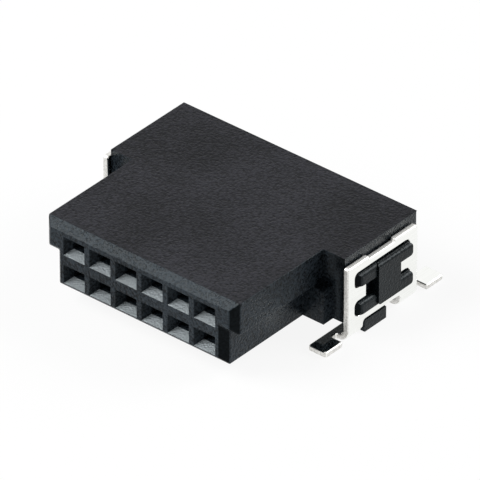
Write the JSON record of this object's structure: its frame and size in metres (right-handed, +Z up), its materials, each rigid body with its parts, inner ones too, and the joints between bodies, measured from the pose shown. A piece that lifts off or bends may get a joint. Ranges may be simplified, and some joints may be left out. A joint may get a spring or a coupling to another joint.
{
  "type": "rectangular connector",
  "caption": "Right-angle board receptacle with two rows of funnelled contact cavities in a low dark housing, soldered flat and held at each end by a bent sheet-metal bracket.",
  "frame": {"origin": "centre of the part's box, on the solder plane under the feet and tails", "axes": "+X along the contact rows, +Y from the mating face to the back, +Z up from the board"},
  "size_m": [0.0124, 0.0106, 0.0036],
  "materials": {
    "housing": "black moulded liquid-crystal polymer with a fine satin grain and faint flow lines",
    "bracket": "stamped and bent copper-alloy sheet with bright tin plating",
    "contact": "blanked copper-alloy sheet, gold-flashed at the fork and bright tin on the tail"
  },
  "bodies": {
    "root": {"housing": "housing", "left_bracket": "bracket", "right_bracket": "bracket", "lower_contact_1": "contact", "lower_contact_2": "contact", "lower_contact_3": "contact", "lower_contact_4": "contact", "lower_contact_5": "contact", "lower_contact_6": "contact", "upper_contact_1": "contact", "upper_contact_2": "contact", "upper_contact_3": "contact", "upper_contact_4": "contact", "upper_contact_5": "contact", "upper_contact_6": "contact"}
  },
  "joints": []
}
